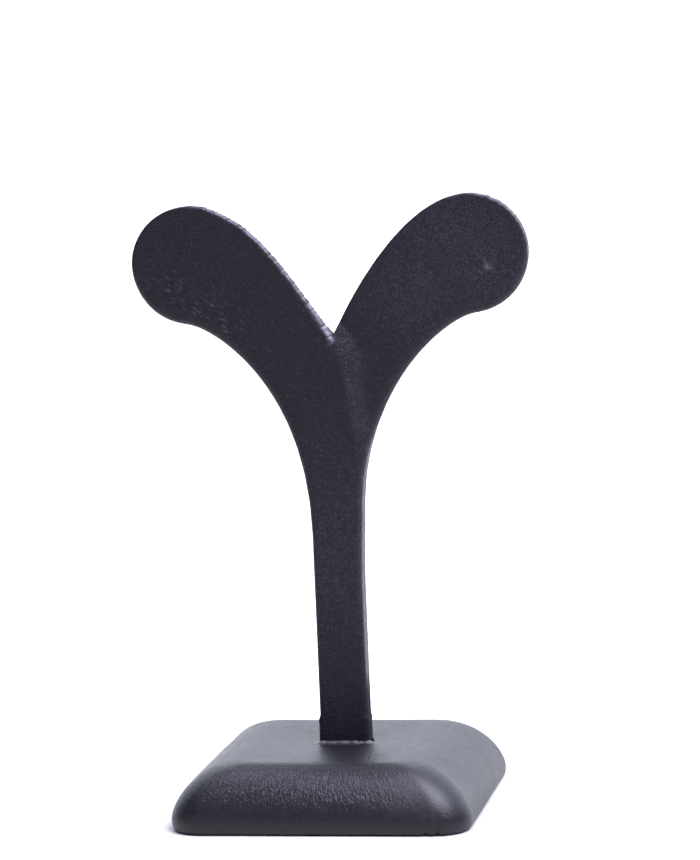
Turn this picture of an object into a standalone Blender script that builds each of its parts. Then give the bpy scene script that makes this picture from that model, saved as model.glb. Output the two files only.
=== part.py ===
"""Y-shaped earring display stand.

Two thin boards, each shaped like a hockey stick, lie back to back. Their blades
spread to the left and to the right as two round lobes, and their shafts together
are the stem. One leather sheet wraps the front and the edges of both, another
covers the back, and the stem is glued into a padded, leather-covered base.

X runs to the right, Y to the back and Z up. The origin is the middle of the
underside of the base.
"""

import math

import bmesh
import bpy
from mathutils import Vector

# Sheets and the clearance left where two pieces touch
LEATHER = 0.0006
GAP = 0.0003
FELT = 0.0005

# Boards of the Y, one behind the other
BOARD = 0.00135
BOARD_FRONT = -GAP / 2 - BOARD
BOARD_BACK = GAP / 2 + BOARD
SKIN = LEATHER + GAP
FACE = BOARD + GAP / 2 + SKIN  # from the mid plane to the front face of the stem
STEP = SKIN - GAP / 2  # from the mid plane to the inner face of a lobe
EDGE_ROUND = 0.0007
ROUND_STEPS = 2

# Stem
STEM_X = 0.00115
STEM_HALF = 0.00456
FAR_HALF = STEM_HALF - 0.00004  # an arm's inner edge ends just inside the other arm's outer one

# Pin holes for the earring posts
PIN_HOLE_RADIUS = 0.00045
PIN_HOLE_SIDES = 8

# Padded base
BASE_SIDE = 0.0560
BASE_HEIGHT = 0.01254
BASE_CORNER = 0.00637
BASE_BELLY = 0.00223  # height of the widest line
BASE_TUCK = 0.00057  # how far the foot of the side runs in below that line
DOME_INSET = 0.01288  # how far the flat top lies inside the widest line
DOME_START = 1.535
DOME_END = 2.08
CORNER_TIGHTENING = 0.3
LEAST_CORNER = 0.0010
HEM_BOTTOM = FELT + GAP
HEM_WIDTH = 0.0080
FELT_INSET = 0.0009
BASE_BOARD_SIDE = 0.0500
BASE_BOARD_CORNER = 0.0040
BASE_BOARD_BOTTOM = HEM_BOTTOM + LEATHER + GAP
BASE_BOARD_THICKNESS = 0.0060
BASE_BOARD_ROUND = 0.0030
SLOT_WIDTH = 0.0112
SLOT_DEPTH = 0.0060
FOOT_Z = BASE_BOARD_BOTTOM + GAP

# The edge of the right arm, in the stem's own frame. It leaves the stem at
# flare_z, runs round the lobe from angle lobe_from to lobe_to, comes down to the
# notch and crosses the stem to its other side, which it meets at CROSS_Z. The
# reach values are the lengths of the curves' handles.
RIGHT_ARM = {
    "side": 1,
    "flare_z": 0.05055,
    "flare_reach": 0.03025,
    "lobe_x": 0.02661,
    "lobe_z": 0.10322,
    "lobe_radius": 0.01112,
    "lobe_from": -86.4,
    "lobe_to": 94.3,
    "lobe_reach": 0.00364,
    "brow_reach": 0.01225,
    "notch_angle": 69.2,
    "notch_reach": 0.0040,
    "pin_x": 0.03039,
    "pin_z": 0.10069,
}
LEFT_ARM = {
    "side": -1,
    "flare_z": 0.05100,
    "flare_reach": 0.02996,
    "lobe_x": 0.02574,
    "lobe_z": 0.10245,
    "lobe_radius": 0.01111,
    "lobe_from": -85.8,
    "lobe_to": 116.6,
    "lobe_reach": 0.00331,
    "brow_reach": 0.00713,
    "notch_angle": 56.5,
    "notch_reach": 0.02262,
    "pin_x": 0.02941,
    "pin_z": 0.09926,
}

# The bottom of the notch, where the two arms' inner edges meet
NOTCH_X = 0.00072
NOTCH_Z = 0.08840

# Below the notch the edge turns to this angle and meets the far side of the stem
CROSS_ANGLE = 78.0
CROSS_Z = 0.0620
CROSS_REACH_TOP = 0.0050
CROSS_REACH_FOOT = 0.0140

# The web: where the leather slopes from one arm's face down to the other's. Its
# near edge follows the crossing edge for WEB_SHARE of its length.
WEB_FAR_EDGE = ((0.0009, 0.0882), (0.0072, 0.0855), (0.0054, 0.0775), (0.0056, 0.0655))
WEB_SHARE = 0.85
WEB_STATIONS = 10
WEB_OVERLAP = 0.0003
WEB_SINK = 0.0001

FLARE_STEPS = 14
LOBE_STEPS = 20
BROW_STEPS = 10
CROSS_STEPS = 8
CORNER_STEPS = 5
DOME_STEPS = 10


def clear_scene():
    for obj in list(bpy.data.objects):
        bpy.data.objects.remove(obj, do_unlink=True)


def material(name, colour, roughness, metallic=0.0):
    made = bpy.data.materials.new(name)
    made.use_nodes = True
    shader = made.node_tree.nodes["Principled BSDF"]
    shader.inputs["Base Color"].default_value = (*colour, 1.0)
    shader.inputs["Roughness"].default_value = roughness
    shader.inputs["Metallic"].default_value = metallic
    made.diffuse_color = (*colour, 1.0)
    return made


def new_object(name, mesh, mat=None):
    obj = bpy.data.objects.new(name, mesh)
    bpy.context.scene.collection.objects.link(obj)
    if mat is not None:
        mesh.materials.append(mat)
    return obj


def helper(obj):
    """A cutter, or a shape that is joined to another: drawn as wire and left out of renders."""
    obj.hide_render = True
    obj.display_type = "WIRE"
    return obj


def combine(obj, operation, *others):
    for other in others:
        modifier = obj.modifiers.new(f"{operation.title()} {other.name}", "BOOLEAN")
        modifier.operation = operation
        modifier.solver = "EXACT"
        modifier.object = other


def loft(name, rings, mat=None):
    """A closed body through rings of points, capped at both ends."""
    shape = bmesh.new()
    rows = [[shape.verts.new(point) for point in ring] for ring in rings]
    for lower, upper in zip(rows, rows[1:]):
        for k in range(len(lower)):
            after = (k + 1) % len(lower)
            shape.faces.new((lower[k], lower[after], upper[after], upper[k]))
    shape.faces.new(list(reversed(rows[0])))
    shape.faces.new(rows[-1])
    bmesh.ops.recalc_face_normals(shape, faces=shape.faces)
    mesh = bpy.data.meshes.new(name)
    shape.to_mesh(mesh)
    shape.free()
    return new_object(name, mesh, mat)


def box(name, low, high):
    (x0, y0, z0), (x1, y1, z1) = low, high
    return loft(name, [[(x0, y0, z), (x1, y0, z), (x1, y1, z), (x0, y1, z)] for z in (z0, z1)])


def cubic_point(curve, t):
    start, first, second, end = curve
    return (
        start * (1 - t) ** 3
        + first * 3 * t * (1 - t) ** 2
        + second * 3 * t**2 * (1 - t)
        + end * t**3
    )


def cubic(curve, steps):
    """Points along a cubic curve, without its last one."""
    return [cubic_point(curve, k / steps) for k in range(steps)]


def turn(degrees):
    angle = math.radians(degrees)
    return Vector((math.cos(angle), math.sin(angle)))


def crossing(arm):
    """The curve of an arm's inner edge from the notch down to the far side of the stem."""
    notch = Vector((arm["side"] * NOTCH_X, NOTCH_Z))
    foot = Vector((-FAR_HALF, CROSS_Z))
    below_notch = notch - turn(CROSS_ANGLE) * CROSS_REACH_TOP
    return notch, below_notch, foot + Vector((0, CROSS_REACH_FOOT)), foot


def arm_edge(arm):
    """The open edge of one board, up its outer side and down to the stem's other side."""
    centre = Vector((arm["lobe_x"], arm["lobe_z"]))
    radius = arm["lobe_radius"]
    start = Vector((STEM_HALF, arm["flare_z"]))
    first, last = arm["lobe_from"], arm["lobe_to"]
    under = centre + turn(first) * radius
    over = centre + turn(last) * radius
    notch = Vector((arm["side"] * NOTCH_X, NOTCH_Z))
    above_start = start + Vector((0, arm["flare_reach"]))
    before_lobe = under - turn(first + 90) * arm["lobe_reach"]
    after_lobe = over + turn(last + 90) * arm["brow_reach"]
    above_notch = notch + turn(arm["notch_angle"]) * arm["notch_reach"]
    sweep = (last - first) / LOBE_STEPS

    points = [Vector((STEM_HALF, FOOT_Z))]
    points += cubic((start, above_start, before_lobe, under), FLARE_STEPS)
    points += [centre + turn(first + sweep * k) * radius for k in range(LOBE_STEPS)]
    points += cubic((over, after_lobe, above_notch, notch), BROW_STEPS)
    points += cubic(crossing(arm), CROSS_STEPS)
    points += [Vector((-FAR_HALF, CROSS_Z)), Vector((-FAR_HALF, FOOT_Z))]
    return points


def inset_edge(points, inset):
    """The same edge moved inwards. Its two ends stay at the foot's height."""
    moved = []
    for k, point in enumerate(points):
        ahead = points[min(k + 1, len(points) - 1)] - point
        behind = point - points[max(k - 1, 0)]
        along = ahead.normalized() + behind.normalized()
        along.normalize()
        moved.append(point + Vector((-along.y, along.x)) * inset)
    return moved


def arm_ring(arm, inset, y, drop=0.0):
    ring = inset_edge(arm_edge(arm), inset)
    ring[0].y -= drop
    ring[-1].y -= drop
    return [(STEM_X + arm["side"] * point.x, y, point.y) for point in ring]


def arm_prism(name, arm, inset, front, back, rounding=0.0, drop=0.0, mat=None):
    """One arm as a flat body from y = front to y = back, with rounded edges."""
    levels = [(inset, front), (inset, back)]
    if rounding:
        quarter = [math.pi / 2 * k / ROUND_STEPS for k in range(ROUND_STEPS + 1)]
        curve = [(rounding * (1 - math.sin(a)), rounding * (1 - math.cos(a))) for a in quarter]
        levels = [(inset + side, front + depth) for side, depth in curve]
        levels += [(inset + side, back - depth) for side, depth in reversed(curve)]
    return loft(name, [arm_ring(arm, side, y, drop) for side, y in levels], mat)


def web(name, arm, facing):
    """The leather between one arm's face and the other's, along the first one's crossing edge."""
    far_edge = [Vector(point) for point in WEB_FAR_EDGE]
    rings = []
    for k in range(WEB_STATIONS + 1):
        share = k / WEB_STATIONS
        near = cubic_point(crossing(arm), WEB_SHARE * share)
        far = cubic_point(far_edge, share)
        near_x = STEM_X + arm["side"] * (near.x + WEB_OVERLAP)
        far_x = STEM_X - arm["side"] * far.x
        deep = -facing * WEB_OVERLAP
        rings.append(
            [
                (near_x, facing * (FACE - WEB_OVERLAP), near.y),
                (near_x, deep, near.y),
                (far_x, deep, far.y),
                (far_x, facing * (STEP - WEB_SINK), far.y),
            ]
        )
    return helper(loft(name, rings))


def pin_cutter(arm):
    x = STEM_X + arm["side"] * arm["pin_x"]
    angles = [math.tau * k / PIN_HOLE_SIDES for k in range(PIN_HOLE_SIDES)]
    rings = [
        [(x + PIN_HOLE_RADIUS * math.cos(a), y, arm["pin_z"] + PIN_HOLE_RADIUS * math.sin(a)) for a in angles]
        for y in (-2 * FACE, 2 * FACE)
    ]
    return helper(loft("pin_cutter_left" if arm["side"] < 0 else "pin_cutter_right", rings))


def base_inset(z):
    """How far the outside of the base lies inside its widest line at height z."""
    if z < BASE_BELLY:
        return BASE_TUCK * (1 - math.sqrt(1 - ((BASE_BELLY - z) / BASE_BELLY) ** 2))
    rise = min(1.0, (z - BASE_BELLY) / (BASE_HEIGHT - BASE_BELLY))
    return DOME_INSET * (1 - (1 - rise**DOME_START) ** (1 / DOME_END))


def base_section(depth, bottom):
    """Half width, height and corner radius up the side of the base, this deep under its surface."""
    rises = [math.sin(math.pi / 2 * k / DOME_STEPS) for k in range(DOME_STEPS + 1)]
    heights = [bottom + (BASE_HEIGHT - bottom) * rise for rise in rises]
    outside = [Vector((BASE_SIDE / 2 - base_inset(z), z)) for z in heights]
    section = []
    for k, point in enumerate(outside):
        along = outside[min(k + 1, DOME_STEPS)] - outside[max(k - 1, 0)]
        if k == DOME_STEPS:
            along = Vector((-1, 0))
        along.normalize()
        moved = point + Vector((-along.y, along.x)) * depth
        inset = BASE_SIDE / 2 - point.x
        corner = max(LEAST_CORNER, BASE_CORNER - CORNER_TIGHTENING * inset)
        section.append((moved.x, moved.y, max(LEAST_CORNER, corner - depth)))
    section[0] = (section[0][0], bottom, section[0][2])
    return section


def square_ring(half, z, corner):
    """A level square with round corners."""
    ring = []
    for k, (sx, sy) in enumerate(((1, 1), (-1, 1), (-1, -1), (1, -1))):
        centre = Vector((sx, sy)) * (half - corner)
        for step in range(CORNER_STEPS + 1):
            point = centre + turn(90 * (k + step / CORNER_STEPS)) * corner
            ring.append((point.x, point.y, z))
    return ring


def slot_cutter(name, width, depth):
    half = Vector((width / 2, depth / 2))
    low = (STEM_X - half.x, -half.y, -GAP)
    return helper(box(name, low, (STEM_X + half.x, half.y, BASE_HEIGHT + GAP)))


def make_base():
    leather = material("base_leather", (0.036, 0.038, 0.050), 0.42)
    foam_mat = material("grey_foam", (0.30, 0.30, 0.31), 0.95)
    mdf = material("base_mdf", (0.36, 0.25, 0.16), 0.85)
    felt_mat = material("black_felt", (0.020, 0.020, 0.022), 0.95)
    slot = slot_cutter("slot_cutter", SLOT_WIDTH, SLOT_DEPTH)
    mortise = slot_cutter("mortise_cutter", 2 * (STEM_HALF + GAP), 2 * (FACE + GAP))

    half_board = BASE_BOARD_SIDE / 2
    board_top = BASE_BOARD_BOTTOM + BASE_BOARD_THICKNESS
    quarter = [math.pi / 2 * k / (ROUND_STEPS + 1) for k in range(ROUND_STEPS + 2)]
    shoulder = [
        (BASE_BOARD_ROUND * (1 - math.cos(a)), BASE_BOARD_ROUND * (1 - math.sin(a))) for a in quarter
    ]
    board_section = [(half_board, BASE_BOARD_BOTTOM, BASE_BOARD_CORNER)]
    board_section += [
        (half_board - side, board_top - drop, BASE_BOARD_CORNER - side / 2) for side, drop in shoulder
    ]
    board = loft("base_board", [square_ring(*level) for level in board_section], mdf)
    combine(board, "DIFFERENCE", mortise)

    outside = base_section(LEATHER + GAP, BASE_BOARD_BOTTOM)
    inside = [(half + GAP, z + GAP, corner) for half, z, corner in board_section]
    inside[0] = (half_board + GAP, BASE_BOARD_BOTTOM, BASE_BOARD_CORNER)
    foam_section = list(reversed(inside)) + outside
    foam = loft("base_foam", [square_ring(*level) for level in foam_section], foam_mat)
    combine(foam, "DIFFERENCE", slot)

    skin = base_section(0.0, HEM_BOTTOM)
    lining = base_section(LEATHER, HEM_BOTTOM + LEATHER)
    hem_half = BASE_SIDE / 2 - HEM_WIDTH
    hem = [(hem_half, z, BASE_CORNER / 2) for z in (HEM_BOTTOM + LEATHER, HEM_BOTTOM)]
    cover_section = list(reversed(lining)) + hem + skin
    cover = loft("base_cover", [square_ring(*level) for level in cover_section], leather)
    combine(cover, "DIFFERENCE", slot)

    felt_half = BASE_SIDE / 2 - FELT_INSET
    loft("bottom_felt", [square_ring(felt_half, z, BASE_CORNER - FELT_INSET) for z in (0.0, FELT)], felt_mat)


def make_stem():
    front_mat = material("front_leather", (0.030, 0.030, 0.040), 0.50)
    rear_mat = material("rear_leather", (0.032, 0.032, 0.042), 0.52)
    front_mdf = material("front_board_mdf", (0.40, 0.28, 0.18), 0.85)
    rear_mdf = material("rear_board_mdf", (0.38, 0.27, 0.17), 0.85)
    pins = (pin_cutter(LEFT_ARM), pin_cutter(RIGHT_ARM))
    front_board = arm_prism("front_board", LEFT_ARM, SKIN, BOARD_FRONT, -GAP / 2, mat=front_mdf)
    rear_board = arm_prism("rear_board", RIGHT_ARM, SKIN, GAP / 2, BOARD_BACK, mat=rear_mdf)
    combine(front_board, "DIFFERENCE", pins[0])
    combine(rear_board, "DIFFERENCE", pins[1])

    webs = (web("front_web", LEFT_ARM, -1), web("rear_web", RIGHT_ARM, 1))
    below = 2 * GAP
    hollows = (
        arm_prism("left_hollow", LEFT_ARM, LEATHER, LEATHER - FACE, STEP - LEATHER, drop=below),
        arm_prism("right_hollow", RIGHT_ARM, LEATHER, LEATHER - STEP, FACE - LEATHER, drop=below),
    )
    openings = (
        arm_prism("left_opening", LEFT_ARM, LEATHER, 0.0, 2 * FACE, drop=below),
        arm_prism("right_opening", RIGHT_ARM, LEATHER, 0.0, 2 * FACE, drop=below),
    )
    back = arm_prism("left_back", LEFT_ARM, SKIN, 0.0, 2 * FACE, drop=below)
    right_back = arm_prism("right_back", RIGHT_ARM, SKIN, 0.0, 2 * FACE, drop=below)
    right_side = arm_prism("right_side", RIGHT_ARM, 0.0, -STEP, FACE, EDGE_ROUND)
    for obj in (*hollows, *openings, back, right_back, right_side):
        helper(obj)
    combine(back, "UNION", right_back)

    for name, mat in (("front_cover", front_mat), ("rear_cover", rear_mat)):
        cover = arm_prism(name, LEFT_ARM, 0.0, -FACE, STEP, EDGE_ROUND, mat=mat)
        combine(cover, "UNION", right_side, *webs)
        combine(cover, "DIFFERENCE", *hollows)
        if name == "front_cover":
            combine(cover, "DIFFERENCE", *openings)
        else:
            combine(cover, "INTERSECT", back)
        combine(cover, "DIFFERENCE", *pins)


def main():
    clear_scene()
    make_base()
    make_stem()


main()
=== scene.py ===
import math

import bmesh
import bpy
import numpy as np
from mathutils import Matrix, Vector, noise
from mathutils.geometry import delaunay_2d_cdt
from mathutils.kdtree import KDTree


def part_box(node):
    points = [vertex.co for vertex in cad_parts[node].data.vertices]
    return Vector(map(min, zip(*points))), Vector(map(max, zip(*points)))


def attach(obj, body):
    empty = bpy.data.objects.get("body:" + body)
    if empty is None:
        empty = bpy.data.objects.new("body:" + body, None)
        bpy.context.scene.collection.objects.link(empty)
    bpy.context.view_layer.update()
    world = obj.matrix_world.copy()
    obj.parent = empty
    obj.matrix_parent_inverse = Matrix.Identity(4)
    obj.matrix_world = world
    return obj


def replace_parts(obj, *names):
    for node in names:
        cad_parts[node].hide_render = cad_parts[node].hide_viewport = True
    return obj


# Looks for the Y-shaped earring display stand. Metres, in the CAD frame: X to the
# right, Y to the back, Z up. The leather, the foam and the felt are built on the shapes
# that the frame holds. The boards are the frame's own pieces with a new material.
#
# A pair of numbers that fades something in says where the fade starts and where it is
# complete, as smooth() takes them. Pairs that end in OUT, BELOW, DEPTH or FORWARD, and
# SLOPE_TOP and FRONT_ONLY, are for a value with its sign turned.

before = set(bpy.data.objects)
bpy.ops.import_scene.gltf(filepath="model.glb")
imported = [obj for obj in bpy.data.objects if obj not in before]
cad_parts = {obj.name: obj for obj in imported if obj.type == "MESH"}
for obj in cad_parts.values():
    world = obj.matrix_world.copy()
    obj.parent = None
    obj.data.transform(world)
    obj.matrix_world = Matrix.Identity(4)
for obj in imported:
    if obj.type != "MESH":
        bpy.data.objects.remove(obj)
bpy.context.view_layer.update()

MM = 0.001

# How near points have to be to count as level, as lowest or as one point
FLAT = 0.01 * MM
LOWEST = 0.1 * MM
SAME_PLACE = 0.001 * MM

# Leather skin of the Y. Its rounded edges have the first size where they face down, and
# the second where they face up.
SPACING = 0.26 * MM
EDGE_SOFTENING = 0.8 * MM
NOTCH_SOFTENING = 0.25 * MM
EDGE_FALL = (1.35 * MM, 0.40 * MM)
EDGE_REACH = (2.00 * MM, 0.40 * MM)
EDGE_RINGS = [reach * MM for reach in (0.05, 0.14, 0.28, 0.45, 0.65, 0.9, 1.25, 1.65)]
RING_KEPT = 0.9
GRID = 0.55 * MM
SEAM_ROWS = [row * MM for row in (-0.5, -0.2, 0.0, 0.2, 0.5, 1.0)]
WALL_ROWS = 5
RIPPLE = 0.20 * MM
RIPPLE_LENGTH = 0.42 * MM
RIPPLE_SEED = 2.0
LEAST_RIPPLE = 0.1
LIT_UP = (0.1, 0.5)
LIT_RIGHT = (-0.1, 0.25)
UPPER_EDGE = (-0.5, 0.3)
FOOT_FLARE = 0.21 * MM
FLARE_LEAN = 0.07 * MM
FLARE_TOP = 17.0 * MM
FLARE_FADE = 0.8 * MM
WAVE_HEIGHT = 0.03 * MM
WAVE_LENGTH = 7.0 * MM
FRONT_SEED = 3.0
BACK_SEED = 8.0
WEB_BELOW_NOTCH = np.array([-5.0, -2.0, 0.0, 1.8, 3.4, 5.4, 8.4, 16.0, 20.0, 26.0, 33.0]) * MM
WEB_WIDTH = np.array([1.6, 3.0, 4.0, 4.5, 4.8, 4.6, 3.9, 3.0, 2.6, 2.0, 1.2]) * MM
WEB_BULGE = 0.34 * MM
WEB_BULGE_PLACE = 53.5 * MM
WEB_BULGE_LENGTH = 7.0 * MM
WEB_SOFTNESS = 1.35
WEB_END = (63.0 * MM, 75.0 * MM)
PIN_DEPTH = 0.35 * MM
PIN_RADIUS = 0.24 * MM
PIN_RINGS = [0.12 * MM, 0.25 * MM, 0.38 * MM, 0.55 * MM, 0.8 * MM]
PIN_SIDES = 16
TURN_OVER = 3.0 * MM
LEATHER = 0.6 * MM
BACK_INSET = 1.0 * MM
BACK_KEPT = 0.97
BACK_ROWS = 2
BACK_THICKNESS = 0.35 * MM
BACK_RINGS = [0.08 * MM, 0.2 * MM, 0.35 * MM]
BACK_EDGE = 0.25 * MM
BACK_SINK = 0.05 * MM

# Wear on the front of the Y, as (x, z, reach) in millimetres
SCUFFS = [
    (-32.1, 100.4, 2.5),
    (-27.5, 98.0, 3.0),
    (-21.8, 94.2, 4.5),
    (-17.6, 91.3, 4.0),
    (30.5, 101.5, 2.5),
]
WORN_SPOT = [(31.5, 100.8, 0.55)]
# Where the leather is painted lighter: partly rubbing, and partly painted light on the right lobe
# and the stem.
WEAR_AND_LIGHT_SPOTS = [(26.0, 106.0, 12.0), (18.0, 97.0, 9.0), (33.0, 98.0, 9.0), (1.2, 47.0, 18.5)]

# Wear and painted light in places that the shape gives: a painted highlight on the slope at
# the fork, painted shade in the pin holes, beside the notch and at the foot, painted highlights
# and reflections along the edges, a painted glint at the notch, and scuffs round the pin holes.
# Of the two shares for the slope, the first is how much lighter it is painted at the notch, and
# the second is how much more it is below.
SLOPE_IN = (0.0, 0.15)
SLOPE_OUT = (-1.0, -0.55)
SLOPE_TOP = (-0.3 * MM, 1.0 * MM)
SLOPE_HIGHLIGHT = (0.15, 0.35)
SLOPE_HIGHLIGHT_BELOW = (1.0 * MM, 9.0 * MM)
NOTCH_SHADE = 0.6
NOTCH_SHADE_OUT = (-1.0, -0.7)
NOTCH_SHADE_ABOVE = (-0.4 * MM, 0.6 * MM)
PIN_SCUFF = 0.9 * MM
HOLE_SHADE = 0.6
HOLE_RADIUS = 0.17 * MM
UNDERSIDE_LEAN = 0.45
UNDERSIDE = (0.1, 0.9)
UNDERSIDE_ABOVE = (20 * MM, 50 * MM)
UNDERSIDE_RIM = 0.36
UNDERSIDE_RIM_DEPTH = (-0.95 * MM, -0.1 * MM)
UPPER_RIM_DEPTH = (-0.18 * MM, 0.0)
NOTCH_GLINT = 0.8
NOTCH_GLINT_REACH = 3.0 * MM
NOTCH_GLINT_DEPTH = (-0.9 * MM, 0.0)
GLINT_AT_NOTCH = 0.45
GLINT_AT_NOTCH_REACH = 0.45 * MM
FOOT_SHADE_BELOW = (-26 * MM, -20 * MM)
FOOT_SHADE_DEPTH = (-0.15 * MM, -0.05 * MM)
FRONT_ONLY = (-0.2 * MM, 0.6 * MM)

# Padded base. DOME_START and DOME_END are the powers that its side curves with, at the
# widest line and at the top.
DOME_INSET = 12.88 * MM
DOME_START = 1.535
DOME_END = 2.08
BELLY = 2.23 * MM
TUCK = 0.57 * MM
CORNER = 6.37 * MM
CORNER_TIGHTENING = 0.3
LEAST_CORNER = 1.0 * MM
HEM_WIDTH = 8.0 * MM
HEM_TURN = 1.8 * MM
HEM_SOFTENING = 0.3 * MM
AROUND = 560
CORNER_POINTS = 25
DOME_POINTS = 900
ROW_SPACING = 0.36 * MM
FINE_SPACING = 0.03 * MM
TOP_ROWS = 30
TOP_CROWDING = 0.8
PULLED_SIDE_ROWS = 12
SLIT_TIP = 0.55 * MM
SLIT_TUCK = 0.15 * MM
SLIT_GAP = 0.30 * MM
SLIT_DEPTH = 1.6 * MM
SLIT_ROWS = (0.15, 0.5, 1.0)
LIP_RISE = 0.60 * MM
LIP_WIDTH = 0.65 * MM
LIP_START = 1.2 * MM
LIP_FADE = 1.0 * MM
LIP_RAGGED = 0.35
LIP_RAGGED_LENGTH = 0.9 * MM
LIP_SEED = 5.0
LIP_PALE = 2.2
HEM_DROP = 0.6 * MM
FRONT_SHOULDER = 0.62
FRONT_DROOP = 0.25 * MM
DROOP_FORWARD = (5 * MM, 24 * MM)
DROOP_ABOVE = (4 * MM, 11 * MM)
PULL_DOWN = 0.74 * MM
PULL_REACH = 8.5 * MM
LUMPS = 0.06 * MM
LUMP_LENGTH = 9.0 * MM
LUMP_FADE = 6 * MM

FOAM_UNDER = 1.15 * MM
FOAM_ROWS = 16
POCKET_GAP = 0.12 * MM
BOARD_CORNER = 4.0 * MM
BOARD_ROUND = 3.0 * MM
POCKET_ROWS = 5
SLOT_GAP = 0.3 * MM
CELLS = 0.05 * MM
CELL_LENGTH = 1.5 * MM
FELT_CORNER = 5.4 * MM
FELT_ROWS = 20
FELT_CENTRE = 0.02
FELT_EDGE = 0.12 * MM
FELT_UNEVEN = 0.06 * MM
FELT_UNEVEN_LENGTH = 4 * MM
FELT_UNEVEN_WITHIN = 26 * MM
FELT_SEED = 3.0

PLEATS = (20.3 * MM, 22.4 * MM)
PLEAT_WIDTH = 0.35 * MM
PLEAT_DEPTH = 0.35 * MM
PLEATS_BELOW = (-5 * MM, -2.5 * MM)
PLEATS_FORWARD = 0.7

# Where the base's leather is wrinkled, and where its front right corner is polished.
# LEAST_WRINKLES is what is left behind the front, past the end and before the start.
WRINKLES_FORWARD = (15 * MM, 21 * MM)
WRINKLES_ABOVE = (3.0 * MM, 7.0 * MM)
WRINKLES_BELOW = (-12.2 * MM, -10.6 * MM)
WRINKLES_END = (15 * MM, 20 * MM)
WRINKLES_START = (-27 * MM, -17 * MM)
LEAST_WRINKLES = (0.15, 0.2, 0.3)
POLISH_RIGHT = (6 * MM, 26 * MM)
POLISH_FORWARD = (6 * MM, 26 * MM)
POLISH_ABOVE = (2.5 * MM, 6.0 * MM)
# The base is painted darker towards its bottom, as painted shade, over these heights.
LOW_SHADE = (2.5 * MM, 7.5 * MM)

# Colours, as linear RGB
NAVY = (0.0140, 0.0127, 0.0198)
NAVY_DARK = (0.0040, 0.0036, 0.0060)
WORN = (0.16, 0.155, 0.17)
# The next colour is a painted highlight and painted reflection along the Y's edges.
EDGE_HIGHLIGHT = (0.105, 0.100, 0.130)
RAW_EDGE = (0.30, 0.29, 0.28)
LIP_EDGE = (0.125, 0.118, 0.113)
# The next colour is a painted glint at the notch.
GLINT_WHITE = (0.60, 0.60, 0.64)
# The next colour is painted shade in the pin holes.
HOLE_SHADE_COLOUR = (0.004, 0.004, 0.005)
RAW_EDGE_DARK = (0.035, 0.033, 0.036)
FRONT_FIBRE = (0.40, 0.28, 0.18)
REAR_FIBRE = (0.38, 0.27, 0.17)
BASE_FIBRE = (0.36, 0.25, 0.16)
DARK_FIBRES = 0.6
FOAM_DARK = (0.03, 0.03, 0.032)
FOAM_PALE = (0.12, 0.12, 0.125)
FELT_DARK = (0.006, 0.006, 0.007)
FELT_PALE = (0.030, 0.030, 0.033)
FLOOR_WHITE = (0.64, 0.64, 0.58)
FLOOR_DARKEST = 0.985

# Stage
FLOOR_HALF = 3.0
BACKDROP_NEAR = 0.9
BACKDROP_BEND = 0.6
BACKDROP_TOP = 2.4
BEND_POINTS = 13
FLOOR_GLOW = 0.98
FLOOR_GLOW_RISE = (-0.02, 0.12)
BACKDROP_GLOW = 0.66
BACKDROP_GLOW_RISE = (0.05, 0.28)
DAYLIGHT = (0.89, 0.95, 1.10)
SOFTBOX_TINT = (0.92, 0.92, 1.18)
ROOM_LIGHT = 0.17
SOFTBOX_AIM = (0, 0, 0.04)
# Each softbox's name, place, width, height and watts
SOFTBOXES = (
    ("overhead_softbox", (0.05, -0.30, 0.95), 1.0, 0.8, 9.0),
    ("side_softbox", (0.44, -0.40, 0.80), 0.55, 0.55, 12.0),
)

# The camera: in front, to the right and a little higher than the stand. Angles are in
# radians, and the focal length is in pixels of the 700 x 860 picture.
CAMERA_PLACE = Vector((127.01, -640.67, 149.26)) * MM
CAMERA_YAW = -0.18934
CAMERA_PITCH = 0.11966
CAMERA_ROLL = 0.04187
FOCAL_PIXELS = 3524.25
LONG_SIDE_PIXELS = 860
SENSOR = 36.0
CAMERA_SEES = 20.0


# Outlines: open or closed edges in the plane of the boards, as rows of (x, z)


def face_loops(node, y):
    """The closed edges of a node's flat face at this y, the longest first."""
    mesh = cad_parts[node].data
    mesh.calc_loop_triangles()
    numbers, places, edges = {}, [], set()
    for triangle in mesh.loop_triangles:
        corners = [mesh.vertices[k].co for k in triangle.vertices]
        if any(abs(corner.y - y) > FLAT for corner in corners):
            continue
        ring = []
        for corner in corners:
            key = (round(corner.x, 6), round(corner.z, 6))
            if key not in numbers:
                numbers[key] = len(places)
                places.append((corner.x, corner.z))
            ring.append(numbers[key])
        for edge in zip(ring, ring[1:] + ring[:1]):
            if edge[::-1] in edges:
                edges.remove(edge[::-1])
            else:
                edges.add(edge)
    after = dict(sorted(edges))
    loops = []
    while after:
        start, following = after.popitem()
        loop = [start]
        while following != start:
            loop.append(following)
            following = after.pop(following)
        loops.append(np.array([places[k] for k in loop]))
    return sorted(loops, key=length_of, reverse=True)


def length_of(points):
    """The length of an open edge."""
    return np.hypot(*np.diff(points, axis=0).T).sum()


def area_of(points):
    """The area inside a closed edge, positive when it runs anticlockwise."""
    x, z = np.asarray(points).T
    return (x * np.roll(z, -1) - np.roll(x, -1) * z).sum() / 2


def open_edge(loop):
    """The loop anticlockwise, from its lower right corner round to its lower left one."""
    if area_of(loop) < 0:
        loop = loop[::-1]
    lowest = np.flatnonzero(loop[:, 1] < loop[:, 1].min() + LOWEST)
    start = lowest[loop[lowest, 0].argmax()]
    return np.roll(loop, -start, axis=0)


def resample(points, spacing):
    """The same open edge with points about this far apart."""
    reach = np.concatenate([[0], np.cumsum(np.hypot(*np.diff(points, axis=0).T))])
    at = np.linspace(0, reach[-1], max(4, round(reach[-1] / spacing)))
    return np.column_stack([np.interp(at, reach, points[:, k]) for k in (0, 1)])


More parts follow.
